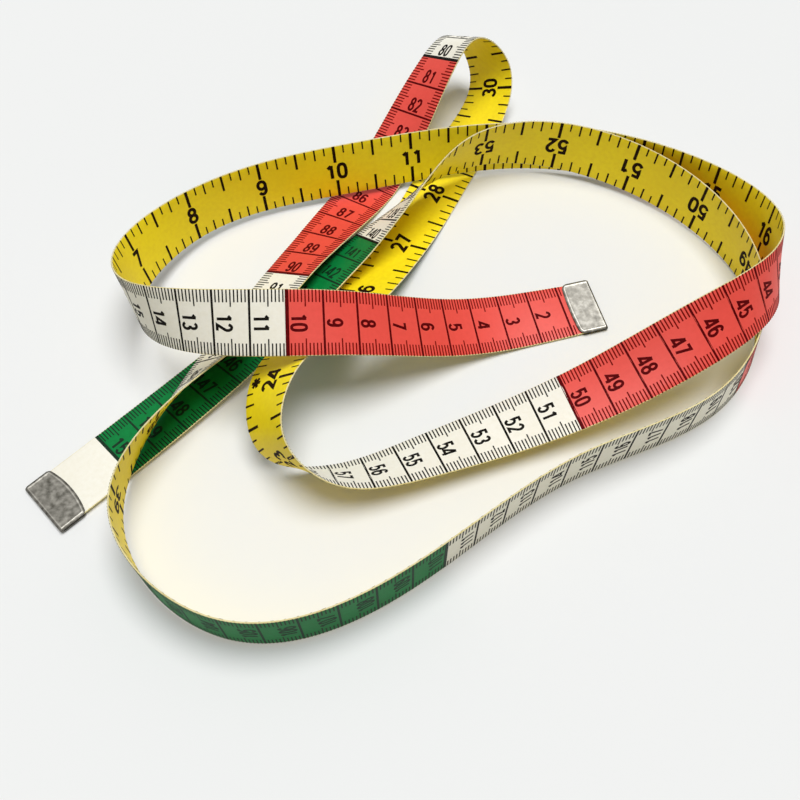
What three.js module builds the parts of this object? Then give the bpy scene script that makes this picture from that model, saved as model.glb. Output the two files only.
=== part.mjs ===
import * as THREE from 'three';

// A cloth tape measure lying loose on a table: one printed strip and a folded metal tip on each end.
// Millimetres, +Z up. The strip is cut into one stretch for each printed colour block.

// Driving dimensions
const tapeLength = 1524; // from the scale's zero to the end of the cloth strip's last stretch
const tipReach = 0.9; // each tip's outer end lies this far past the scale's zero or the strip's end
const tapeWidth = 18;
const tapeThickness = 0.45;
const blockLength = 100; // one printed colour block
const stretchGap = 0.3; // between the ends of two stretches
const bendGap = 0.6; // between two stretches where a free end bends
const zeroBend = 60; // reading where the free first end bends
const farFree = 16; // free length of the far end, beyond its bend
const blockOrder = ['red', 'white', 'green', 'white']; // block by block from zero, then over again
const sampleStep = 4; // along the strip
const tangentStep = 0.05; // either way, for the strip's direction
const tableRest = 0.32; // least height of the strip's middle plane over the table
const tableSoftness = 0.25; // how gently the strip meets the table
const tipWall = 0.35; // sheet metal
const tipClearance = 0.22; // between the cloth and the sheet, each face
const tipSideMargin = 0.3; // the tip is wider than the cloth by this much on each side
const zeroTipSide = 8.1; // along the tape, at the sides of the first tip
const zeroTipMid = 9.3; // along the tape, at the middle of its curved inner edge
const farTipSide = 7.5;
const farTipMid = 9.5;
const tipCornerRadius = 0.5; // outer corners
const tipColumns = 12;
const foldSteps = 6;
const clothRoughness = 0.55;
const tipRoughness = 0.3;
const clothInset = 1.4; // the cloth is cut this much short, inside the tip

// The strip's route: reading, then the middle of the strip, then the direction across it.
const route = [
  [0, 57.7, -3.2, 1.3, -0.2, 0.98, 0.02],
  [42, 17.5, -13.0, 6.5, -0.15, 0.95, 0.3],
  [85, -19.0, -24.5, 27.0, 0.0, 0.9, 0.45],
  [125, -57.5, -25.5, 32.0, 0.05, 0.6, 0.8],
  [150, -77.5, -13.5, 25.0, -0.15, 0.35, 0.9],
  [174, -82.5, 8.0, 16.5, -0.25, 0.3, 0.9],
  [205, -66.0, 33.0, 12.0, -0.05, 0.2, 1.0],
  [262, -13.5, 51.2, 11.0, -0.05, 0.27, 0.95],
  [322, 46.0, 57.3, 10.5, 0.0, 0.12, 1.0],
  [372, 92.0, 37.0, 12.0, 0.05, 0.2, 1.0],
  [405, 107.5, 9.0, 18.0, 0.15, 0.3, 0.95],
  [430, 103.0, -14.5, 25.8, -0.25, 0.35, 0.9],
  [458, 81.0, -30.5, 24.2, -0.45, 0.7, 0.55],
  [500, 43.5, -42.5, 9.0, -0.3, 0.95, 0.05],
  [545, 0.5, -55.5, 4.5, -0.3, 0.9, -0.4],
  [572, -25.0, -61.0, 8.0, -0.25, 0.65, -0.7],
  [590, -38.5, -55.5, 16.0, -0.5, 0.25, -0.85],
  [610, -38.5, -37.0, 20.0, -0.8, 0.2, -0.6],
  [640, -24.5, -14.0, 11.1, -0.82, 0.4, -0.44],
  [690, 1.0, 29.0, 1.0, -0.88, 0.47, -0.08],
  [745, 27.0, 77.5, 1.2, -0.86, 0.5, -0.14],
  [770, 33.5, 96.5, 12.0, -0.72, 0.5, -0.48],
  [786, 24.5, 98.0, 24.0, -0.55, 0.7, -0.45],
  [803, 13.8, 87.3, 20.8, -0.65, 0.7, -0.35],
  [848, -9.5, 54.0, 0.6, -0.83, 0.55, 0.0],
  [893, -33.5, 18.3, 4.0, -0.8, 0.48, -0.34],
  [920, -48.0, -5.5, 6.3, -0.77, 0.43, -0.45],
  [955, -67.0, -34.5, 10.2, -0.5, 0.25, -0.85],
  [995, -79.5, -71.0, 11.0, -0.07, 0.02, -1.0],
  [1040, -50.0, -102.5, 9.7, 0.0, 0.03, -1.0],
  [1090, -3.0, -91.5, 9.5, -0.02, 0.03, -1.0],
  [1145, 43.5, -62.5, 9.5, -0.03, 0.06, -1.0],
  [1190, 85.0, -44.0, 9.5, 0.12, 0.08, -1.0],
  [1232, 104.5, -8.4, 9.3, 0.12, -0.06, -1.0],
  [1320, 53.0, 55.2, 12.2, -0.1, -0.1, -1.0],
  [1355, 20.0, 51.0, 14.0, -0.15, 0.22, -0.97],
  [1385, -2.0, 32.0, 10.0, -0.4, 0.55, -0.75],
  [1412, -20.3, 16.2, 4.0, -0.6, 0.66, -0.45],
  [1445, -45.3, -9.2, 2.0, -0.67, 0.71, -0.18],
  [1524, -102.5, -63.5, 0.9, -0.69, 0.73, -0.02],
];

const halfWidth = tapeWidth / 2;
const halfThickness = tapeThickness / 2;
const farBend = tapeLength - farFree;
const readings = route.map((row) => row[0]);

// Second derivatives of the natural cubic spline through one column of the route.
function splineBends(column) {
  const count = route.length;
  const value = route.map((row) => row[column]);
  const bends = new Array(count).fill(0);
  const upper = new Array(count).fill(0);
  const right = new Array(count).fill(0);
  for (let i = 1; i < count - 1; i += 1) {
    const before = readings[i] - readings[i - 1];
    const after = readings[i + 1] - readings[i];
    const rise = (value[i + 1] - value[i]) / after - (value[i] - value[i - 1]) / before;
    const pivot = 2 * (before + after) - before * upper[i - 1];
    upper[i] = after / pivot;
    right[i] = (6 * rise - before * right[i - 1]) / pivot;
  }
  for (let i = count - 2; i > 0; i -= 1) {
    bends[i] = right[i] - upper[i] * bends[i + 1];
  }
  return bends;
}

const bendsOf = [1, 2, 3, 4, 5, 6].map(splineBends);

// The route's six values at a reading. Past its last point the route goes straight on.
function routeAt(reading) {
  const end = readings[readings.length - 1];
  if (reading > end) {
    const before = routeAt(end - tangentStep);
    const slope = routeAt(end).map((value, k) => (value - before[k]) / tangentStep);
    return routeAt(end).map((value, k) => value + slope[k] * (reading - end));
  }
  let i = 0;
  while (i < route.length - 2 && reading > readings[i + 1]) {
    i += 1;
  }
  const span = readings[i + 1] - readings[i];
  const a = (readings[i + 1] - reading) / span;
  const b = 1 - a;
  const scale = (span * span) / 6;
  return bendsOf.map((bends, k) => {
    const chord = a * route[i][k + 1] + b * route[i + 1][k + 1];
    return chord + ((a ** 3 - a) * bends[i] + (b ** 3 - b) * bends[i + 1]) * scale;
  });
}

// The middle of the strip, held up by the table where its lower edge would sink into it.
function middleAt(reading) {
  const [x, y, z, ax, ay, az] = routeAt(reading);
  const slant = Math.abs(az) / Math.hypot(ax, ay, az);
  const sunk = tableRest - (z - halfWidth * slant);
  const lift = (sunk + Math.hypot(sunk, tableSoftness)) / 2;
  return new THREE.Vector3(x, y, z + lift);
}

// Middle, along, across and face directions at a reading.
function frameAt(reading) {
  const low = Math.max(0, reading - tangentStep);
  const high = Math.min(tapeLength, reading + tangentStep);
  const along = middleAt(high).sub(middleAt(low)).normalize();
  const across = new THREE.Vector3(...routeAt(reading).slice(3));
  across.addScaledVector(along, -across.dot(along)).normalize();
  const face = across.clone().cross(along);
  return { middle: middleAt(reading), along, across, face };
}

// A point of the strip: reading along it, offset across it, height over its middle plane.
function stripPoint(reading, offset, height) {
  const { middle, across, face } = frameAt(reading);
  return middle.addScaledVector(across, offset).addScaledVector(face, height);
}

// A closed solid through equal rings of points. Caps are triangles of ring indices.
// The side marked in turned takes the other diagonal, so both faces of a sheet fold alike.
function loft(rings, cap, turned, inward) {
  const count = rings[0].length;
  const positions = rings.flat().flatMap((point) => [point.x, point.y, point.z]);
  const triangles = [];
  for (let i = 0; i < rings.length - 1; i += 1) {
    for (let j = 0; j < count; j += 1) {
      const next = (j + 1) % count;
      const a = i * count + j;
      const b = i * count + next;
      const c = (i + 1) * count + next;
      const d = (i + 1) * count + j;
      if (turned(j)) {
        triangles.push([a, d, b], [b, d, c]);
      } else {
        triangles.push([a, c, b], [a, d, c]);
      }
    }
  }
  const last = (rings.length - 1) * count;
  for (const [a, b, c] of cap) {
    triangles.push([a, b, c], [last + a, last + c, last + b]);
  }
  const ordered = inward ? triangles.map(([a, b, c]) => [a, c, b]) : triangles;
  const geometry = new THREE.BufferGeometry();
  geometry.setAttribute('position', new THREE.Float32BufferAttribute(positions, 3));
  geometry.setIndex(ordered.flat());
  geometry.computeVertexNormals();
  return geometry;
}

// One stretch of the strip between two readings.
function stretchGeometry(from, to) {
  const steps = Math.max(2, Math.round((to - from) / sampleStep));
  const rings = [];
  for (let i = 0; i <= steps; i += 1) {
    const reading = from + ((to - from) * i) / steps;
    const ring = [];
    for (const offset of [halfWidth, 0, -halfWidth]) {
      ring.push(stripPoint(reading, offset, halfThickness));
    }
    for (const offset of [-halfWidth, 0, halfWidth]) {
      ring.push(stripPoint(reading, offset, -halfThickness));
    }
    rings.push(ring);
  }
  const cap = [[0, 1, 5], [1, 4, 5], [1, 2, 4], [2, 3, 4]];
  return loft(rings, cap, (j) => j === 3 || j === 4, false);
}

// A folded sheet-metal tip: a hairpin section swept across the tape, its outer corners rounded and its
// inner edge an arc. sign is 1 on the first end of the tape and -1 on the far end.
function tipGeometry(scaleEnd, sign, sideLength, midLength) {
  const outerRadius = halfThickness + tipClearance + tipWall;
  const innerRadius = halfThickness + tipClearance;
  const tipHalfWidth = halfWidth + tipSideMargin;
  const seatInset = (midLength + tipReach) / 2;
  const seat = frameAt(scaleEnd + sign * (seatInset - tipReach));
  const rings = [];
  for (let i = 0; i <= tipColumns; i += 1) {
    const offset = tipHalfWidth * -Math.cos((Math.PI * i) / tipColumns);
    const share = (offset / tipHalfWidth) ** 2;
    const length = midLength + (sideLength - midLength) * share;
    const past = Math.max(0, Math.abs(offset) - (tipHalfWidth - tipCornerRadius));
    const start = tipCornerRadius - Math.sqrt(Math.max(0, tipCornerRadius ** 2 - past ** 2));
    const outer = [[length, outerRadius]];
    const inner = [[length, innerRadius]];
    for (let k = 0; k <= foldSteps; k += 1) {
      const angle = Math.PI / 2 + (Math.PI * k) / foldSteps;
      const centre = start + outerRadius;
      outer.push([centre + outerRadius * Math.cos(angle), outerRadius * Math.sin(angle)]);
      inner.push([centre + innerRadius * Math.cos(angle), innerRadius * Math.sin(angle)]);
    }
    outer.push([length, -outerRadius]);
    inner.push([length, -innerRadius]);
    const section = outer.concat(inner.reverse());
    rings.push(section.map(([inset, height]) => {
      const point = seat.middle.clone();
      point.addScaledVector(seat.along, sign * (inset - seatInset));
      point.addScaledVector(seat.across, offset);
      return point.addScaledVector(seat.face, height);
    }));
  }
  const cap = [];
  const count = rings[0].length;
  for (let k = 0; k < count / 2 - 1; k += 1) {
    cap.push([k, k + 1, count - 2 - k], [k, count - 2 - k, count - 1 - k]);
  }
  return loft(rings, cap, () => false, sign > 0);
}

const group = new THREE.Group();
group.name = 'cloth_tape_measure';

function addPiece(name, geometry, color, metalness, roughness) {
  const material = new THREE.MeshStandardMaterial({ color, metalness, roughness });
  material.name = name;
  const mesh = new THREE.Mesh(geometry, material);
  mesh.name = name;
  group.add(mesh);
}

const colours = { red: 0xd8382c, white: 0xe9e6da, green: 0x0f7a34, nickel: 0xb9b7b0 };

// Half of the gap at one cut, or the cloth's inset where the strip ends inside a tip.
function trimAt(cut) {
  if (cut === 0 || cut === tapeLength) {
    return clothInset;
  }
  return (cut === zeroBend || cut === farBend ? bendGap : stretchGap) / 2;
}

function colourAt(reading) {
  return blockOrder[Math.floor(reading / blockLength) % blockOrder.length];
}

const blockCount = Math.floor(tapeLength / blockLength);
const cuts = [zeroBend, farBend, tapeLength];
for (let block = 0; block <= blockCount; block += 1) {
  cuts.push(block * blockLength);
}
cuts.sort((a, b) => a - b);
for (let i = 0; i < cuts.length - 1; i += 1) {
  const from = cuts[i];
  const to = cuts[i + 1];
  const colour = colourAt(from);
  const label = [from, to].map((cut) => String(Math.round(cut)).padStart(4, '0')).join('_');
  const geometry = stretchGeometry(from + trimAt(from), to - trimAt(to));
  addPiece(`strip_${label}_${colour}`, geometry, colours[colour], 0, clothRoughness);
}
addPiece('zero_tip', tipGeometry(0, 1, zeroTipSide, zeroTipMid), colours.nickel, 1, tipRoughness);
const farTip = tipGeometry(tapeLength, -1, farTipSide, farTipMid);
addPiece('far_tip', farTip, colours.nickel, 1, tipRoughness);

// The bottom centre of the whole part is the origin.
const box = new THREE.Box3().setFromObject(group);
const centre = box.getCenter(new THREE.Vector3());
for (const mesh of group.children) {
  mesh.geometry.translate(-centre.x, -centre.y, -box.min.z);
}

export default group;
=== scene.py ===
import bpy
import numpy as np
from mathutils import Matrix


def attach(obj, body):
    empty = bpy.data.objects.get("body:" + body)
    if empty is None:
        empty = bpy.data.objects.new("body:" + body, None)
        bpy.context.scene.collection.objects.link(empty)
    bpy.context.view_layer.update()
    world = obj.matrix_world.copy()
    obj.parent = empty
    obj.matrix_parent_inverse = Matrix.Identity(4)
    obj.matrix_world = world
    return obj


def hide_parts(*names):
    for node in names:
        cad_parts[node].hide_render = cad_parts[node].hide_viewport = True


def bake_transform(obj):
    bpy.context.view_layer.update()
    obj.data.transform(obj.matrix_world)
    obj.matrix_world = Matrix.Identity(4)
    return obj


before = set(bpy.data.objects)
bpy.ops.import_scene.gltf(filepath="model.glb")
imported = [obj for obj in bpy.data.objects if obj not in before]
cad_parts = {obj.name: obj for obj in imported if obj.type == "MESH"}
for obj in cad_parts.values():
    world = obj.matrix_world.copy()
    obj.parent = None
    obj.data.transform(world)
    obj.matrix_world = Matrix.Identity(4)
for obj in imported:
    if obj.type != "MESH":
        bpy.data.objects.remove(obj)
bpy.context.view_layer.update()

scene = bpy.context.scene
scene.view_settings.view_transform = "Standard"
mm = 0.001
inch = 25.4 * mm

# The strip's route in metres: reading, then the middle of the strip, then the direction across it.
route = np.array([
    [0.000, 0.0577, -0.0032, 0.0013, -0.20, 0.98, 0.02],
    [0.042, 0.0175, -0.0130, 0.0065, -0.15, 0.95, 0.30],
    [0.085, -0.0190, -0.0245, 0.0270, 0.00, 0.90, 0.45],
    [0.125, -0.0575, -0.0255, 0.0320, 0.05, 0.60, 0.80],
    [0.150, -0.0775, -0.0135, 0.0250, -0.15, 0.35, 0.90],
    [0.174, -0.0825, 0.0080, 0.0165, -0.25, 0.30, 0.90],
    [0.205, -0.0660, 0.0330, 0.0120, -0.05, 0.20, 1.00],
    [0.262, -0.0135, 0.0512, 0.0110, -0.05, 0.27, 0.95],
    [0.322, 0.0460, 0.0573, 0.0105, 0.00, 0.12, 1.00],
    [0.372, 0.0920, 0.0370, 0.0120, 0.05, 0.20, 1.00],
    [0.405, 0.1075, 0.0090, 0.0180, 0.15, 0.30, 0.95],
    [0.430, 0.1030, -0.0145, 0.0258, -0.25, 0.35, 0.90],
    [0.458, 0.0810, -0.0305, 0.0242, -0.45, 0.70, 0.55],
    [0.500, 0.0435, -0.0425, 0.0090, -0.30, 0.95, 0.05],
    [0.545, 0.0005, -0.0555, 0.0045, -0.30, 0.90, -0.40],
    [0.572, -0.0250, -0.0610, 0.0080, -0.25, 0.65, -0.70],
    [0.590, -0.0385, -0.0555, 0.0160, -0.50, 0.25, -0.85],
    [0.610, -0.0385, -0.0370, 0.0200, -0.80, 0.20, -0.60],
    [0.640, -0.0245, -0.0140, 0.0111, -0.82, 0.40, -0.44],
    [0.690, 0.0010, 0.0290, 0.0010, -0.88, 0.47, -0.08],
    [0.745, 0.0270, 0.0775, 0.0012, -0.86, 0.50, -0.14],
    [0.770, 0.0335, 0.0965, 0.0120, -0.72, 0.50, -0.48],
    [0.786, 0.0245, 0.0980, 0.0240, -0.55, 0.70, -0.45],
    [0.803, 0.0138, 0.0873, 0.0208, -0.65, 0.70, -0.35],
    [0.848, -0.0095, 0.0540, 0.0006, -0.83, 0.55, 0.00],
    [0.893, -0.0335, 0.0183, 0.0040, -0.80, 0.48, -0.34],
    [0.920, -0.0480, -0.0055, 0.0063, -0.77, 0.43, -0.45],
    [0.955, -0.0670, -0.0345, 0.0102, -0.50, 0.25, -0.85],
    [0.995, -0.0795, -0.0710, 0.0110, -0.07, 0.02, -1.00],
    [1.040, -0.0500, -0.1025, 0.0097, 0.00, 0.03, -1.00],
    [1.090, -0.0030, -0.0915, 0.0095, -0.02, 0.03, -1.00],
    [1.145, 0.0435, -0.0625, 0.0095, -0.03, 0.06, -1.00],
    [1.190, 0.0850, -0.0440, 0.0095, 0.12, 0.08, -1.00],
    [1.232, 0.1045, -0.0084, 0.0093, 0.12, -0.06, -1.00],
    [1.320, 0.0530, 0.0552, 0.0122, -0.10, -0.10, -1.00],
    [1.355, 0.0200, 0.0510, 0.0140, -0.15, 0.22, -0.97],
    [1.385, -0.0020, 0.0320, 0.0100, -0.40, 0.55, -0.75],
    [1.412, -0.0203, 0.0162, 0.0040, -0.60, 0.66, -0.45],
    [1.445, -0.0453, -0.0092, 0.0020, -0.67, 0.71, -0.18],
    [1.524, -0.1025, -0.0635, 0.0009, -0.69, 0.73, -0.02],
])

strip = dict(
    length=1524 * mm,
    width=18 * mm,
    thickness=0.45 * mm,
    centring=np.array([-0.1191, 0.1701, -0.0451]) * mm,  # the route's frame to the part's
    tableRest=0.32 * mm,  # least height of the middle plane's edges over the table
    tableSoftness=0.25 * mm,
    tangentStep=0.05 * mm,
    rowStep=1 * mm,  # along the strip
    faceColumns=11,  # across each face
    edgePoints=6,  # round each long edge
    block=100 * mm,  # one printed colour block
    blockOrder=(0, 1, 2, 1),  # red, white, green, white, then over again
    inset=1.4 * mm,  # the cloth stops this far short of the scale's ends, inside the tips
    zeroSeam=100 * mm,  # the free ends are pieces of their own up to here
    farSeam=1500 * mm,
    zeroBend=(80 * mm, 40 * mm),  # where the bend of each free end would start and end; the points there are taken but not used
    farBend=(1505.5 * mm, 1511 * mm),
)


def unit(vectors):  # each vector over its own length
    return vectors / np.linalg.norm(vectors, axis=-1, keepdims=True)


def splineBends():  # natural cubic spline: second derivatives from one tridiagonal system
    gap = np.diff(route[:, 0])
    inner = np.arange(1, len(route) - 1)
    system = np.eye(len(route))
    system[inner, inner - 1] = gap[:-1]
    system[inner, inner] = 2 * (gap[:-1] + gap[1:])
    system[inner, inner + 1] = gap[1:]
    right = np.zeros((len(route), 6))
    right[1:-1] = 6 * np.diff(np.diff(route[:, 1:], axis=0) / gap[:, None], axis=0)
    return np.linalg.solve(system, right)


stations, bends = route[:, 0], splineBends()


def routeAt(reading):  # cubic between two stations, lifted where an edge would sink into the table
    i = np.clip(np.searchsorted(stations, reading, side="right") - 1, 0, len(stations) - 2)
    span = stations[i + 1] - stations[i]
    a = ((stations[i + 1] - reading) / span)[..., None]
    b = 1 - a
    curve = ((a ** 3 - a) * bends[i] + (b ** 3 - b) * bends[i + 1]) * (span ** 2 / 6)[..., None]
    row = a * route[i, 1:] + b * route[i + 1, 1:] + curve
    middle, across = row[..., :3], row[..., 3:]
    slant = np.abs(across[..., 2]) / np.linalg.norm(across, axis=-1)
    sunk = strip["tableRest"] - (middle[..., 2] - strip["width"] / 2 * slant)
    middle[..., 2] += (sunk + np.hypot(sunk, strip["tableSoftness"])) / 2
    return middle - strip["centring"], across


def frameAt(reading):  # middle, along, across made square to along, and the centimetre face's normal
    low = np.maximum(reading - strip["tangentStep"], 0)
    high = np.minimum(reading + strip["tangentStep"], strip["length"])
    along = unit(routeAt(high)[0] - routeAt(low)[0])
    middle, across = routeAt(reading)
    across = unit(across - along * (across * along).sum(-1, keepdims=True))
    return middle, along, across, np.cross(across, along)


def onStrip(reading, offset, height):  # middle plus offset across plus height along the face's normal
    middle, along, across, face = frameAt(reading)
    return middle + across * offset[..., None] + face * height[..., None]


def pointAt(reading):  # one point on the middle line; the points taken below are not used
    return tuple(float(x) for x in frameAt(np.array([reading]))[0][0])


def newPiece(name, points, faces, materials, smooth=True):  # points and index lists made an object
    mesh = bpy.data.meshes.new(name)
    mesh.from_pydata(points.reshape(-1, 3).tolist(), [], faces)
    for material in materials:
        mesh.materials.append(material)
    mesh.polygons.foreach_set("use_smooth", np.full(len(mesh.polygons), smooth))
    piece = bpy.data.objects.new(name, mesh)
    scene.collection.objects.link(piece)
    return piece


def linear(code):  # an sRGB hex colour to linear
    value = np.array([int(code[i:i + 2], 16) for i in (1, 3, 5)]) / 255
    value = np.where(value <= 0.04045, value / 12.92, ((value + 0.055) / 1.055) ** 2.4)
    return (*value.tolist(), 1.0)


def addNode(material, kind, inputs=(), links=(), **settings):  # one node, its settings, values and links
    node = material.node_tree.nodes.new(kind)
    for key, value in settings.items():
        setattr(node, key, value)
    for key, value in dict(inputs).items():
        node.inputs[key].default_value = value
    for key, socket in dict(links).items():
        material.node_tree.links.new(socket, node.inputs[key])
    return node


def newMaterial(name):
    material = bpy.data.materials.new(name)
    material.use_nodes = True
    material.node_tree.nodes.clear()
    return material


def surface(material, shader):
    addNode(material, "ShaderNodeOutputMaterial", links={"Surface": shader.outputs["BSDF"]})
    return material


cloth = dict(
    red=("#e8483b", "#e24436", 0.5),  # clean colour, handled colour, gloss
    white=("#f6f3e6", "#f1eddd", 0.3),
    green=("#057e3c", "#057336", 0.11),
    yellow=("#fae316", "#f3d914", 0.3),
    edge=("#eae0ac", "#dacb8e", 0.3),
    ior=1.53,
    roughness=(0.43, 0.53),
    threadPitch=0.8,  # mm; the real threads are about 0.5 mm apart, drawn coarser so that they show
    weaveDepth=0.02 * mm,
    weaveStrength=0.25,
    blotch=22.0,  # mm, uneven handling marks
    grain=1.4,  # mm, fine unevenness of the coat
    wornSpan=(0.12, 0.34),  # where the unevenness turns from the handled colour to the clean one
)


def coatedCloth(name, clean, handled, gloss):
    # Calendered vinyl coat on woven glass cloth: an even colour with a soft gloss, threads just showing
    # through.
    material = newMaterial(name)
    place = addNode(material, "ShaderNodeUVMap", uv_map="tapeMillimetres").outputs["UV"]
    waveScale = 2 * np.pi / 20 / cloth["threadPitch"]  # a wave texture has 20 radians to the unit
    warp = addNode(material, "ShaderNodeTexWave", {"Scale": waveScale}, {"Vector": place},
                   bands_direction="X")
    weft = addNode(material, "ShaderNodeTexWave", {"Scale": waveScale}, {"Vector": place},
                   bands_direction="Y")
    weave = addNode(material, "ShaderNodeMath", links={0: warp.outputs["Fac"], 1: weft.outputs["Fac"]},
                    operation="MULTIPLY")
    blotch = addNode(material, "ShaderNodeTexNoise", {"Scale": 1 / cloth["blotch"], "Detail": 3.0},
                     {"Vector": place})
    grain = addNode(material, "ShaderNodeTexNoise", {"Scale": 1 / cloth["grain"], "Detail": 2.0},
                    {"Vector": place})
    uneven = addNode(material, "ShaderNodeMath", links={0: blotch.outputs["Fac"], 1: grain.outputs["Fac"]},
                     operation="MULTIPLY")
    colour = addNode(material, "ShaderNodeValToRGB", links={"Fac": uneven.outputs[0]})
    for stop, at, code in zip(colour.color_ramp.elements, cloth["wornSpan"], (handled, clean)):
        stop.position = at
        stop.color = linear(code)
    low, high = cloth["roughness"]
    rough = addNode(material, "ShaderNodeMapRange", {"To Min": high, "To Max": low},
                    {"Value": blotch.outputs["Fac"]})
    bump = addNode(material, "ShaderNodeBump", {"Strength": cloth["weaveStrength"],
                   "Distance": cloth["weaveDepth"]}, {"Height": weave.outputs[0]})
    return surface(material, addNode(material, "ShaderNodeBsdfPrincipled", {"IOR": cloth["ior"],
                   "Specular IOR Level": gloss},
                   {"Base Color": colour.outputs["Color"], "Roughness": rough.outputs["Result"],
                    "Normal": bump.outputs["Normal"]}))


film = dict(
    ior=1.5,
    roughness=0.55,
    cover=1.11 * mm,  # unevenness of the print
    coverSpan=(0.42, 0.75),  # where it turns from dense to thin
)


def screenInk(name, dense, thin, gloss=0.05):
    # Screen-printed vinyl ink: a thin flat film, a little lighter where the screen left less.
    material = newMaterial(name)
    place = addNode(material, "ShaderNodeTexCoord").outputs["Object"]
    cover = addNode(material, "ShaderNodeTexNoise", {"Scale": 1 / film["cover"], "Detail": 2.0},
                    {"Vector": place})
    colour = addNode(material, "ShaderNodeValToRGB", links={"Fac": cover.outputs["Fac"]})
    for stop, at, code in zip(colour.color_ramp.elements, film["coverSpan"], (dense, thin)):
        stop.position = at
        stop.color = linear(code)
    return surface(material, addNode(material, "ShaderNodeBsdfPrincipled", {"IOR": film["ior"],
                   "Roughness": film["roughness"], "Specular IOR Level": gloss},
                   {"Base Color": colour.outputs["Color"]}))


clothNames = ("red", "white", "green", "yellow", "edge")
clothMaterials = [coatedCloth("calendered_vinyl_cloth_" + key, *cloth[key]) for key in clothNames]
inkMaterials = [
    screenInk("screen_ink_on_red", "#520003", "#660409"),
    screenInk("screen_ink_on_white", "#0e0c0a", "#26221c"),
    screenInk("screen_ink_on_green", "#042212", "#08301c", 0.15),
    screenInk("screen_ink_on_yellow", "#160a04", "#2e1a08"),
    screenInk("screen_ink_fine_on_red", "#6c0402", "#7a0a05"),  # the red ground shows through a thin line
]
print("materials for cloth and ink made")


def blockColour(reading):  # the colour of the block that a reading falls in
    block = np.floor(reading / strip["block"] + 1e-6).astype(int)  # a hair more, against rounding
    return np.array(strip["blockOrder"])[block % len(strip["blockOrder"])]


def stripSection():  # flat faces joined by half circles, from the upper edge over the cm face and back
    half = strip["thickness"] / 2
    flatHalf = strip["width"] / 2 - half
    flat = np.linspace(flatHalf, -flatHalf, strip["faceColumns"])
    turn = np.linspace(0, np.pi, strip["edgePoints"])[1:-1]
    bulge = flatHalf + half * np.sin(turn)
    offset = np.concatenate([flat, -bulge, flat[::-1], bulge])
    height = np.concatenate([np.full(len(flat), half), half * np.cos(turn),
                             np.full(len(flat), -half), -half * np.cos(turn)])
    side = np.full(len(offset), 4)  # 4 is the edge, 0 the centimetre face, 3 the inch face
    side[:len(flat) - 1] = 0
    side[len(flat) + len(turn):2 * len(flat) + len(turn) - 1] = 3
    return offset, height, side


def ribbon(name, start, stop):  # the section carried along the route, one row per millimetre, ends capped
    offset, height, side = stripSection()
    rows = int(round((stop - start) / strip["rowStep"])) + 1
    reading = np.linspace(start, stop, rows)
    columns = len(offset)
    shape = (rows, columns)
    points = onStrip(np.broadcast_to(reading[:, None], shape), np.broadcast_to(offset, shape),
                     np.broadcast_to(height, shape))
    i, j = np.meshgrid(np.arange(rows - 1), np.arange(columns), indexing="ij")
    k = (j + 1) % columns
    quads = np.stack([i * columns + j, (i + 1) * columns + j, (i + 1) * columns + k, i * columns + k], -1)
    first = list(range(columns))
    last = list(range(rows * columns - 1, (rows - 1) * columns - 1, -1))
    piece = newPiece(name, points, quads.reshape(-1, 4).tolist() + [first, last], clothMaterials)
    middle = (reading[:-1] + reading[1:]) / 2
    colour = np.where(side == 0, blockColour(middle)[:, None], side)
    mesh = piece.data
    mesh.polygons.foreach_set("material_index", np.append(colour.ravel(), [4, 4]).astype(np.int32))
    corner = np.zeros(len(mesh.loops), np.int32)
    mesh.loops.foreach_get("vertex_index", corner)
    place = np.stack([reading[corner // columns], offset[corner % columns]], -1) / mm
    mesh.uv_layers.new(name="tapeMillimetres").uv.foreach_set("vector", place.astype(np.float32).ravel())
    return piece


zeroStrip = ribbon("strip_zero_end", strip["inset"], strip["zeroSeam"])
mainStrip = ribbon("strip_main", strip["zeroSeam"], strip["farSeam"])
farStrip = ribbon("strip_far_end", strip["farSeam"], strip["length"] - strip["inset"])
print("strip made:", len(mainStrip.data.polygons), "faces in the main stretch")

ink = dict(
    height=0.03 * mm,  # over the cloth
    root=0.02 * mm,  # under the cloth's surface
    firstReading=9 * mm,  # nothing is printed under the first tip
    mmWidth=0.37 * mm,
    mmLength=3.4 * mm,
    fiveLength=4.6 * mm,
    lineWidth=0.62 * mm,  # full line at each centimetre
    blockLineWidth=1.0 * mm,  # heavier where the colour changes
    lineMargin=0.1 * mm,  # ticks stop this far from the cloth's edge
    digitHeight=4.8 * mm,
    digitWidth=2.4 * mm,
    digitPitch=2.6 * mm,
    digitStroke=0.77 * mm,
    baseline=0.75 * mm,  # from the line to the feet of its number
    firstNumber=2,  # centimetres
    # The inch line, then the lines at one to four eighths.
    inchWidths=(1.0 * mm, 0.48 * mm, 0.55 * mm, 0.48 * mm, 0.8 * mm),
    inchLengths=(5.7 * mm, 2.7 * mm, 3.8 * mm, 2.7 * mm, 5.4 * mm),
    inchDigitHeight=5.8 * mm,
    inchDigitWidth=3.6 * mm,
    inchDigitPitch=3.9 * mm,
    inchStroke=1.1 * mm,
    starInch=24,  # a star stands for the line here
    starSize=4.4 * mm,
    starStroke=1.0 * mm,
    strokeStep=0.8 * mm,  # so that a stroke follows the strip's bends
    squareness=2.7,  # of the zero: 2 is an ellipse
    mitreLimit=2.0,  # a corner reaches at most this many half strokes
)
inkTop = strip["thickness"] / 2 + ink["height"]
inkFoot = strip["thickness"] / 2 - ink["root"]


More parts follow.
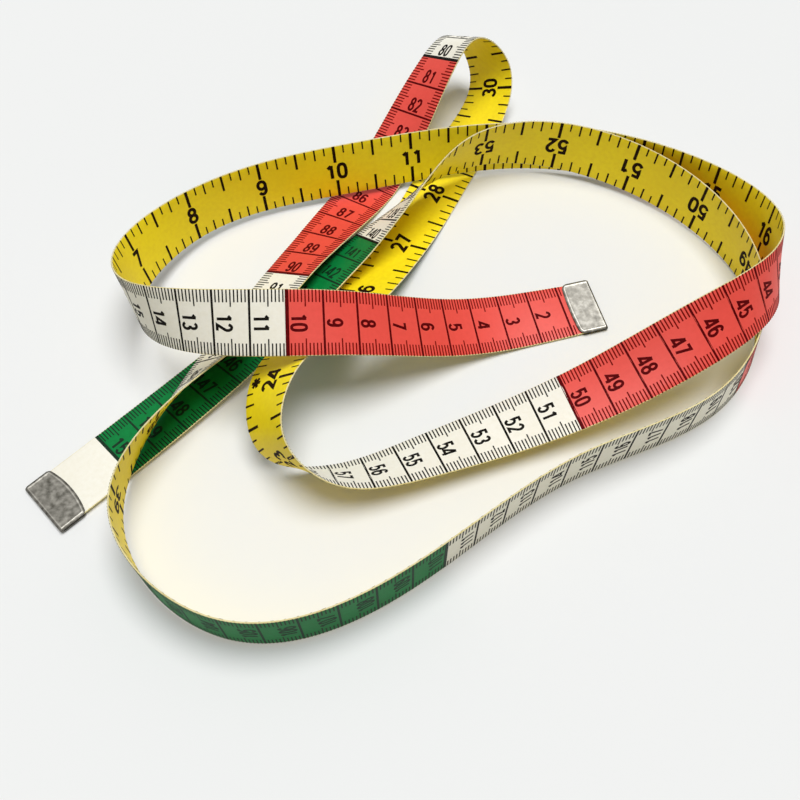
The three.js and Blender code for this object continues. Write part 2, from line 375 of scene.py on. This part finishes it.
def bars(reading, half, start, stop, up):  # thin boxes: reading +- half, across from start to stop
    s = reading[:, None] + half[:, None] * np.array([-1, 1, 1, -1, -1, 1, 1, -1])
    v = np.where(np.array([0, 0, 1, 1, 0, 0, 1, 1]) == 0, start[:, None], stop[:, None])
    h = np.broadcast_to(up * np.repeat([inkFoot, inkTop], 4), s.shape)
    points = onStrip(s, v, h)
    box = np.array([[0, 1, 2, 3], [7, 6, 5, 4], [0, 4, 5, 1], [1, 5, 6, 2], [2, 6, 7, 3], [3, 7, 4, 0]])
    flip = (stop > start) == (up > 0)
    faces = np.where(flip[:, None, None], box[:, ::-1], box) + 8 * np.arange(len(reading))[:, None, None]
    return points.reshape(-1, 3), faces.reshape(-1, 4), np.repeat(reading, 6)


def arc(cx, cy, rx, ry, begin, end, count):  # an elliptic arc between two angles in degrees
    angle = np.radians(np.linspace(begin, end, count))
    return np.stack([cx + rx * np.cos(angle), cy + ry * np.sin(angle)], -1)


def digitStrokes():  # centre lines in a unit cell, left to right and foot to head; True is a closed loop
    angle = np.radians(np.arange(0, 360, 20))
    power = 2 / ink["squareness"]
    oval = np.stack([np.sign(np.cos(angle)) * np.abs(np.cos(angle)) ** power,
                     np.sign(np.sin(angle)) * np.abs(np.sin(angle)) ** power], -1)
    bowl = arc(0.5, 0.3, 0.5, 0.3, 0, 340, 18)
    tail = np.concatenate([[[0.0, 0.34]], arc(0.49, 0.64, 0.49, 0.36, 180, 34, 10)])
    return {
        "0": [(0.5 + 0.5 * oval, True)],
        "1": [(np.array([[0.66, 0.0], [0.66, 1.0]]), False),
              (np.array([[0.66, 0.97], [0.16, 0.78]]), False)],
        "2": [(np.concatenate([arc(0.48, 0.72, 0.48, 0.28, 165, -35, 11), [[0.04, 0.0], [1.0, 0.0]]]),
               False)],
        "3": [(arc(0.47, 0.76, 0.45, 0.24, 155, -90, 12), False),
              (arc(0.47, 0.26, 0.53, 0.26, 90, -155, 12), False)],
        "4": [(np.array([[0.84, 0.0], [0.84, 1.0]]), False),
              (np.array([[0.74, 1.0], [-0.14, 0.23], [1.14, 0.23]]), False)],
        "5": [(np.concatenate([[[0.92, 1.0], [0.14, 1.0], [0.08, 0.5]],
                               arc(0.47, 0.32, 0.53, 0.32, 128, -155, 13)]), False)],
        "6": [(bowl, True), (tail, False)],
        "7": [(np.array([[0.0, 1.0], [1.0, 1.0], [0.36, 0.0]]), False)],
        "8": [(arc(0.5, 0.76, 0.43, 0.24, 0, 340, 18), True),
              (arc(0.5, 0.26, 0.5, 0.26, 0, 340, 18), True)],
        "9": [(1 - bowl, True), (1 - tail, False)],
        "*": [(arc(0.5, 0.5, 0.5, 0.5, turn, turn + 180, 2), False) for turn in (90, 30, 150)],
    }


def finer(path, closed, longest):  # points added on each straight run, none further apart than longest
    ends = np.roll(path, -1, axis=0) if closed else path[1:]
    starts = path if closed else path[:-1]
    runs = np.maximum(1, np.ceil(np.linalg.norm(ends - starts, axis=1) / longest)).astype(int)
    share = np.concatenate([np.arange(n) / n for n in runs])[:, None]
    along = np.repeat(starts, runs, axis=0) * (1 - share) + np.repeat(ends, runs, axis=0) * share
    return along if closed else np.concatenate([along, path[-1:]])


def band(path, closed, half):  # the path moved to both sides by half a stroke, mitred at its corners
    step = np.roll(path, -1, axis=0) - path
    step = unit(step if closed else np.concatenate([step[:-1], step[-2:-1]]))
    before = np.roll(step, 1, axis=0) if closed else np.concatenate([step[:1], step[:-1]])
    normal = np.stack([-step[:, 1], step[:, 0]], -1)
    normalBefore = np.stack([-before[:, 1], before[:, 0]], -1)
    mitre = unit(normal + normalBefore)
    reach = half / np.maximum((mitre * normal).sum(-1, keepdims=True), 1 / ink["mitreLimit"])
    return path + mitre * reach, path - mitre * reach


def digitShape(strokes, width, height, stroke):  # flat bands with a foot and a top, as points and quads
    flats, levels, quads, base = [], [], [], 0
    for path, closed in strokes:
        scaled = (path - [0.5, 0]) * [width - stroke, height - stroke] + [0, stroke / 2]
        scaled = finer(scaled, closed, ink["strokeStep"])
        left, right = band(scaled, closed, stroke / 2)
        count = len(scaled)
        ring = np.stack([left, right, right, left], 1)
        flats.append(ring.reshape(-1, 2))
        levels.append(np.tile([1, 1, 0, 0], count))
        k = np.arange(count if closed else count - 1)[:, None]
        j = np.arange(4)[None, :]
        a, b = k * 4, ((k + 1) % count) * 4
        side = np.stack([a + j, b + j, b + (j + 1) % 4, a + (j + 1) % 4], -1).reshape(-1, 4)
        ends = np.array([[0, 1, 2, 3], [-1, -2, -3, -4]]) % (4 * count)
        quads.append((side if closed else np.concatenate([side, ends])) + base)
        base += 4 * count
    return np.concatenate(flats), np.concatenate(levels), np.concatenate(quads)


def numbers(values, reading, cell, onCentimetres, centre=0.0):  # each number's digits set side by side
    width, height, stroke, pitch = cell
    texts = [str(v) for v in values]
    shapes = {key: digitShape(strokes, width, height, stroke) for key, strokes in digitStrokes().items()}
    spots = [(key, k - (len(text) - 1) / 2, at)
             for text, at in zip(texts, reading) for k, key in enumerate(text)]
    points, faces, where, base = [], [], [], 0
    for key in sorted(shapes):
        chosen = [(shift, at) for found, shift, at in spots if found == key]
        if not chosen:
            continue
        flat, level, quads = shapes[key]
        shift, at = (np.array(column)[:, None] for column in zip(*chosen))
        x = flat[None, :, 0] + shift * pitch
        y = flat[None, :, 1] + 0 * shift
        h = np.where(level[None, :] == 1, inkTop, inkFoot) + 0 * x
        if onCentimetres:  # heads towards zero, read from the upper edge to the lower
            placed = onStrip(at - ink["baseline"] - y, -x, h)
        else:  # heads towards the upper edge, read along the tape
            placed = onStrip(at + x, centre + y - height / 2, -h)
        points.append(placed.reshape(-1, 3))
        first = base + len(flat) * np.arange(len(chosen))
        faces.append((quads[None] + first[:, None, None]).reshape(-1, 4))
        where.append(np.repeat(at[:, 0], len(quads)))
        base += len(flat) * len(chosen)
    return np.concatenate(points), np.concatenate(faces), np.concatenate(where)


def centimetrePrint():  # ticks from both edges, a full line each centimetre and its number on the zero side
    edge = strip["width"] / 2 - ink["lineMargin"]
    count = np.arange(int(np.ceil(ink["firstReading"] / mm)), int(strip["farSeam"] / mm) + 1)
    ticks = count[count % 10 != 0]
    length = np.where(ticks % 5 == 0, ink["fiveLength"], ink["mmLength"])
    half = np.full(len(ticks), ink["mmWidth"] / 2)
    full = np.full(len(ticks), edge)
    lines = count[count % 10 == 0]
    lineHalf = np.where(lines % 100 == 0, ink["blockLineWidth"], ink["lineWidth"]) / 2
    wide = np.full(len(lines), edge)
    cell = (ink["digitWidth"], ink["digitHeight"], ink["digitStroke"], ink["digitPitch"])
    values = np.arange(ink["firstNumber"], int(strip["farSeam"] / (10 * mm)) + 1)
    return [bars(ticks * mm, half, full, full - length, 1), bars(ticks * mm, half, -full, length - full, 1),
            bars(lines * mm, lineHalf, wide, -wide, 1), numbers(values, values * 10 * mm, cell, True)]


def inchPrint():  # ticks each eighth of an inch from both edges and a number at each inch
    edge = strip["width"] / 2 - ink["lineMargin"]
    eighth = np.arange(int(np.ceil(8 * ink["firstReading"] / inch)), int(8 * strip["farSeam"] / inch - 1))
    step = np.where(eighth % 8 == 0, 0, np.where(eighth % 8 > 4, 8 - eighth % 8, eighth % 8))
    half = np.array(ink["inchWidths"])[step] / 2
    length = np.array(ink["inchLengths"])[step]
    full = np.full(len(eighth), edge)
    reading = eighth * inch / 8
    cell = (ink["inchDigitWidth"], ink["inchDigitHeight"], ink["inchStroke"], ink["inchDigitPitch"])
    values = np.arange(1, int(strip["farSeam"] / inch) + 1)
    upper = eighth != 8 * ink["starInch"]
    star = (ink["starSize"], ink["starSize"], ink["starStroke"], 0.0)
    starPlace = edge - ink["inchLengths"][0] / 2
    return [bars(reading[upper], half[upper], full[upper], (full - length)[upper], -1),
            bars(reading, half, -full, length - full, -1), numbers(values, values * inch, cell, False),
            numbers(["*"], [ink["starInch"] * inch], star, False, starPlace)]


def inkPiece(name, groups, start, stop, onYellow):  # the printed shapes in one stretch of the strip
    points, faces, colour, base = [], [], [], 0
    for k, (spots, quads, reading) in enumerate(groups):
        keep = (reading >= start) & (reading < stop)
        used, inverse = np.unique(quads[keep], return_inverse=True)
        points.append(spots[used])
        faces.append(inverse.reshape(-1, 4) + base)
        tone = np.where(onYellow, 3, blockColour(reading[keep] - mm / 100))  # a line ends its block
        colour.append(np.where((tone == 0) & (k < 2), 4, tone))  # the first two groups are the fine ticks
        base += len(used)
    faces = np.concatenate(faces).tolist()
    piece = newPiece(name, np.concatenate(points), faces, inkMaterials, smooth=False)
    piece.data.polygons.foreach_set("material_index", np.concatenate(colour).astype(np.int32))
    return piece


cmGroups, inchGroups = centimetrePrint(), inchPrint()
seams = (0.0, strip["zeroSeam"] - mm / 2, strip["farSeam"] + mm / 2)  # lines on seams go with the main
zeroInk = [inkPiece("ink_cm_zero_end", cmGroups, seams[0], seams[1], False),
           inkPiece("ink_inch_zero_end", inchGroups, seams[0], seams[1], True)]
mainInk = [inkPiece("ink_cm_main", cmGroups, seams[1], seams[2], False),
           inkPiece("ink_inch_main", inchGroups, seams[1], seams[2], True)]
print("print made:", sum(len(o.data.polygons) for o in zeroInk + mainInk), "faces")

tip = dict(
    wall=0.35 * mm,
    clearance=0.22 * mm,  # between the cloth and the sheet
    sideMargin=0.3 * mm,  # wider than the cloth on each side
    reach=0.9 * mm,  # past the scale's zero, or past the strip's end
    outerCorner=0.5 * mm,
    innerCorner=(1.9 * mm, 1.1 * mm),  # zero end, far end
    zero=(8.9 * mm, 9.4 * mm),  # length at the sides before the corners are rounded, and in the middle
    far=(8.2 * mm, 9.6 * mm),
    columns=72,
    rows=48,
    foldPoints=12,
    rimDepth=0.75 * mm,  # from the outline to the crest of the pressed rim
    rimWidth=0.22 * mm,
    rimHeight=0.1 * mm,
    rimHighlight=0.34,  # painted highlight: how much brighter the rim is drawn than the face
    paintedShadeWidth=0.45 * mm,  # painted shade: the darker border outside the rim
    faceTone=(0.39, 0.17),  # how bright the face is drawn, zero end and far end
    # painted shade: the fold is drawn darker than the face
    foldShade=0.12,
    insideWear=0.3,
    crimp=0.16 * mm,  # the edges are pressed down towards the cloth
    crimpWidth=0.35 * mm,
    dull="#4c4a44",  # darkest: the painted shade in the border and on the fold
    plain="#94918a",
    plainAt=0.4,
    bright="#e9e6dc",  # brightest: the painted highlight on the rim
    mottle=1.613 * mm,  # uneven plating
    mottleShare=0.8,  # how much it changes the tone
    grit=0.238 * mm,  # tumbling marks
    gritDepth=0.02 * mm,
    gritStrength=0.25,
    roughness=(0.54, 0.32),  # at the darkest tone, at the brightest
)


def nickelSheet():
    # Nickel-plated sheet steel, stamped and tumbled: grey metal with a satin blur, a highlight painted on
    # the rim, and shade painted in the border outside it and on the fold.
    material = newMaterial("stamped_nickel_plate")
    place = addNode(material, "ShaderNodeTexCoord").outputs["Object"]
    # the tone per point, with the painted shade and the painted highlight in it
    tone_and_painted_light = addNode(material, "ShaderNodeAttribute", attribute_name="tone_and_painted_light").outputs["Fac"]
    mottle = addNode(material, "ShaderNodeTexNoise", {"Scale": 1 / tip["mottle"], "Detail": 5.0},
                     {"Vector": place})
    grit = addNode(material, "ShaderNodeTexNoise", {"Scale": 1 / tip["grit"], "Detail": 2.0},
                   {"Vector": place})
    uneven = addNode(material, "ShaderNodeMath", {1: tip["mottleShare"], 2: -tip["mottleShare"] / 2},
                     {0: mottle.outputs["Fac"]}, operation="MULTIPLY_ADD")
    shade = addNode(material, "ShaderNodeMath", links={0: uneven.outputs[0], 1: tone_and_painted_light}, operation="ADD")
    colour = addNode(material, "ShaderNodeValToRGB", links={"Fac": shade.outputs[0]})
    colour.color_ramp.elements[0].color = linear(tip["dull"])
    colour.color_ramp.elements[1].color = linear(tip["bright"])
    colour.color_ramp.elements.new(tip["plainAt"]).color = linear(tip["plain"])
    dullest, brightest = tip["roughness"]
    gloss = addNode(material, "ShaderNodeMapRange", {"To Min": dullest, "To Max": brightest},
                    {"Value": shade.outputs[0]})
    bump = addNode(material, "ShaderNodeBump", {"Strength": tip["gritStrength"],
                   "Distance": tip["gritDepth"]}, {"Height": grit.outputs["Fac"]})
    return surface(material, addNode(material, "ShaderNodeBsdfPrincipled", {"Metallic": 1.0},
                   {"Base Color": colour.outputs["Color"], "Roughness": gloss.outputs["Result"],
                    "Normal": bump.outputs["Normal"]}))


nickel = nickelSheet()


def clip(name, scaleEnd, sign, lengths, innerCorner, faceTone):
    # A sheet folded round the cloth's end: a hairpin section carried across the tape. The inner edge is an
    # arc with round corners, the outer corners are round, and a rim follows the outline at a set distance
    # inside it.
    sideLength, midLength = lengths
    outerHalf = strip["thickness"] / 2 + tip["clearance"] + tip["wall"]
    halfWidth = strip["width"] / 2 + tip["sideMargin"]
    offset = halfWidth * np.sin(np.linspace(-np.pi / 2, np.pi / 2, tip["columns"]))
    share = np.abs(offset) / halfWidth

    def cut(radius):  # how far a round corner takes the outline in
        past = np.maximum(0, np.abs(offset) - (halfWidth - radius))
        return radius - np.sqrt(np.maximum(0, radius ** 2 - past ** 2))

    end = midLength + (sideLength - midLength) * share ** 2 - cut(innerCorner)
    start = cut(tip["outerCorner"])
    blend = (1 - np.cos(np.linspace(0, np.pi, tip["rows"]))) / 2
    bend = start + outerHalf
    inset = end[:, None] + (bend - end)[:, None] * blend
    loose = np.minimum(halfWidth - np.abs(offset)[:, None], end[:, None] - inset)  # in from the three edges
    wall = np.minimum(loose, inset - start[:, None])  # in from the whole outline
    rim = np.exp(-((wall - tip["rimDepth"]) / tip["rimWidth"]) ** 2)
    plain = outerHalf - tip["crimp"] * np.exp(-(loose / tip["crimpWidth"]) ** 2)
    height = plain + tip["rimHeight"] * rim  # the lower side has no rim
    angle = np.pi / 2 + np.linspace(0, np.pi, tip["foldPoints"])[1:-1]
    foldInset = bend[:, None] + outerHalf * np.cos(angle)
    foldHeight = plain[:, -1:] * np.sin(angle)
    outerInset = np.concatenate([inset, foldInset, inset[:, ::-1]], 1)
    outerHeight = np.concatenate([height, foldHeight, -plain[:, ::-1]], 1)
    innerFold = bend[:, None] + (outerHalf - tip["wall"]) * np.cos(angle)
    innerInset = np.concatenate([inset, innerFold, inset[:, ::-1]], 1)
    lower = plain - tip["wall"]
    innerHeight = np.concatenate([lower, lower[:, -1:] * np.sin(angle), -lower[:, ::-1]], 1)
    x = np.concatenate([outerInset, innerInset[:, ::-1]], 1)
    h = np.concatenate([outerHeight, innerHeight[:, ::-1]], 1)
    seat = (midLength + tip["reach"]) / 2
    reading = np.array([scaleEnd + sign * (seat - tip["reach"])])
    middle, along, across, face = (row[0] for row in frameAt(reading))
    points = middle + sign * (x - seat)[..., None] * along
    points = points + offset[:, None, None] * across + h[..., None] * face
    columns, count = x.shape
    i, j = np.meshgrid(np.arange(columns - 1), np.arange(count), indexing="ij")
    k = (j + 1) % count
    quads = np.stack([i * count + j, i * count + k, (i + 1) * count + k, (i + 1) * count + j], -1)
    quads = quads.reshape(-1, 4)
    j = np.arange(count // 2 - 1)
    cap = np.stack([j, count - 1 - j, count - 2 - j, j + 1], -1)
    quads = np.concatenate([quads, cap, cap[:, ::-1] + (columns - 1) * count])
    quads = quads if sign > 0 else quads[:, ::-1]
    piece = newPiece(name, points, quads.tolist(), [nickel])
    # painted light: shade in the border outside the rim and on the fold, a highlight on the rim's crest
    border = np.exp(-(wall / tip["paintedShadeWidth"]) ** 2)
    tone_and_painted_light = faceTone * (1 - border) + tip["rimHighlight"] * rim
    tone_and_painted_light = np.concatenate([tone_and_painted_light, np.full((columns, len(angle)), tip["foldShade"]), tone_and_painted_light[:, ::-1]], 1)
    tone_and_painted_light = np.concatenate([tone_and_painted_light, np.full_like(tone_and_painted_light, tip["insideWear"])], 1).astype(np.float32)
    piece.data.attributes.new("tone_and_painted_light", "FLOAT", "POINT").data.foreach_set("value", tone_and_painted_light.ravel())
    return piece


zeroTip = clip("tip_zero", 0.0, 1, tip["zero"], tip["innerCorner"][0], tip["faceTone"][0])
farTip = clip("tip_far", strip["length"], -1, tip["far"], tip["innerCorner"][1], tip["faceTone"][1])
print("tips made")

nodes = sorted(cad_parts)
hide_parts("zero_tip")
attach(zeroTip, "zero_end")
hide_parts("far_tip")
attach(farTip, "far_end")
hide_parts("strip_0000_0060_red", "strip_0060_0100_red")
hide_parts("strip_1500_1508_white", "strip_1508_1524_white")
mainNodes = [n for n in nodes if n.startswith("strip_") and "strip_0100" <= n[:10] < "strip_1500"]
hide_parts(*mainNodes)
for piece in [mainStrip] + mainInk:
    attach(piece, "strip")
for piece in [zeroStrip] + zeroInk:
    pointAt(strip["zeroBend"][0])
    pointAt(strip["zeroBend"][1])
    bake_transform(piece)
pointAt(strip["farBend"][0])
pointAt(strip["farBend"][1])
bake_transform(farStrip)
print("pieces joined to their bodies")

view = dict(
    sensor=36,  # mm
    focal=904.5 / 800,  # in widths of the sensor
    nearest=10 * mm,
    elevation=np.radians(58.39),
    roll=np.radians(2.75),
    distance=265.0 * mm,
    target=np.array([-4.0, -33.5, 0.0]) * mm - strip["centring"],
)


def placeCamera():  # right and up turned by the roll, looking down at the target from its front
    e, r = view["elevation"], view["roll"]
    back = np.array([0, -np.cos(e), np.sin(e)])
    level = np.array([0, np.sin(e), np.cos(e)])
    side = np.array([1.0, 0, 0])
    right = np.cos(r) * side - np.sin(r) * level
    up = np.sin(r) * side + np.cos(r) * level
    data = bpy.data.cameras.new("camera")
    data.sensor_width = view["sensor"]
    data.lens = view["focal"] * view["sensor"]
    data.clip_start = view["nearest"]
    camera = bpy.data.objects.new("camera", data)
    place = np.eye(4)
    place[:3, :3] = np.stack([right, up, back], 1)
    place[:3, 3] = view["target"] + view["distance"] * back
    camera.matrix_world = Matrix(place.tolist())
    scene.collection.objects.link(camera)
    scene.camera = camera


studio = dict(
    floorSize=6.0,  # m
    floorColour="#f1f2f1",
    shadowShare=0.92,  # how much of a shadow the camera sees on the floor
    bounce="#e6e3d6",  # the floor as it lights the object
    ambient=0.23,
    backdrop="#f2f2ef",
    keyPlace=(0.2, 0.12, 1.9),  # m
    keySize=1.3,  # m across
    keyLevel=0.85,  # what the key adds to a white floor
)


def seenDirectly(tree):  # 1 for the camera and for what metal and clear things show
    path = addNode(tree, "ShaderNodeLightPath")
    camera, glossy = path.outputs["Is Camera Ray"], path.outputs["Is Glossy Ray"]
    clear = path.outputs["Is Transmission Ray"]
    seen = addNode(tree, "ShaderNodeMath", links={0: camera, 1: glossy}, operation="MAXIMUM")
    seen = addNode(tree, "ShaderNodeMath", links={0: seen.outputs[0], 1: clear}, operation="MAXIMUM")
    return seen.outputs[0]


def paperFloor():
    # Matt white paper: even and dull. The camera sees most of it lit, so that it keeps the shadow, and the
    # rest as a glow that makes up for the key's fall-off with the distance from the point below it.
    paper = newMaterial("matt_white_paper")
    share, rise = studio["shadowShare"], studio["keyPlace"][2] ** 2
    place = addNode(paper, "ShaderNodeTexCoord").outputs["Object"]
    reach = addNode(paper, "ShaderNodeVectorMath", {1: (*studio["keyPlace"][:2], 0.0)}, {0: place},
                    operation="DISTANCE")
    square = addNode(paper, "ShaderNodeMath", {1: 2.0}, {0: reach.outputs["Value"]}, operation="POWER")
    slant = addNode(paper, "ShaderNodeMath", {1: 1 / rise, 2: 1.0}, {0: square.outputs[0]},
                    operation="MULTIPLY_ADD")
    falloff = addNode(paper, "ShaderNodeMath", {1: -2.0}, {0: slant.outputs[0]}, operation="POWER")
    keyPart, restPart = -share * studio["keyLevel"], 1 - share * studio["ambient"]
    glow = addNode(paper, "ShaderNodeMath", {1: keyPart, 2: restPart}, {0: falloff.outputs[0]},
                   operation="MULTIPLY_ADD")
    colour = linear(studio["floorColour"])
    lit = addNode(paper, "ShaderNodeBsdfDiffuse", {"Color": [c * share for c in colour[:3]] + [1]})
    shine = addNode(paper, "ShaderNodeEmission", {"Color": colour}, {"Strength": glow.outputs[0]})
    seenFloor = addNode(paper, "ShaderNodeAddShader", links={0: lit.outputs[0], 1: shine.outputs[0]})
    bounce = addNode(paper, "ShaderNodeBsdfDiffuse", {"Color": linear(studio["bounce"])})
    mix = addNode(paper, "ShaderNodeMixShader",
                  links={0: seenDirectly(paper), 1: bounce.outputs[0], 2: seenFloor.outputs[0]})
    addNode(paper, "ShaderNodeOutputMaterial", links={"Surface": mix.outputs[0]})
    return paper


def buildStudio():
    half = studio["floorSize"] / 2
    corners = np.array([[-half, -half, 0], [half, -half, 0], [half, half, 0], [-half, half, 0]])
    newPiece("floor", corners, [[0, 1, 2, 3]], [paperFloor()], smooth=False)
    key = bpy.data.lights.new("key", "AREA")
    key.shape = "DISK"
    key.size = studio["keySize"]
    key.energy = studio["keyLevel"] * np.pi ** 2 * (studio["keyPlace"][2] ** 2 + studio["keySize"] ** 2 / 4)
    lamp = bpy.data.objects.new("key", key)
    lamp.location = studio["keyPlace"]
    scene.collection.objects.link(lamp)
    world = bpy.data.worlds.new("studio")
    world.use_nodes = True
    world.node_tree.nodes.clear()
    scene.world = world
    light = addNode(world, "ShaderNodeBackground", {"Color": (1, 1, 1, 1), "Strength": studio["ambient"]})
    white = addNode(world, "ShaderNodeBackground", {"Color": linear(studio["backdrop"]), "Strength": 1.0})
    mix = addNode(world, "ShaderNodeMixShader",
                  links={0: seenDirectly(world), 1: light.outputs[0], 2: white.outputs[0]})
    addNode(world, "ShaderNodeOutputWorld", links={"Surface": mix.outputs[0]})


placeCamera()
buildStudio()
print("camera, floor and light placed")
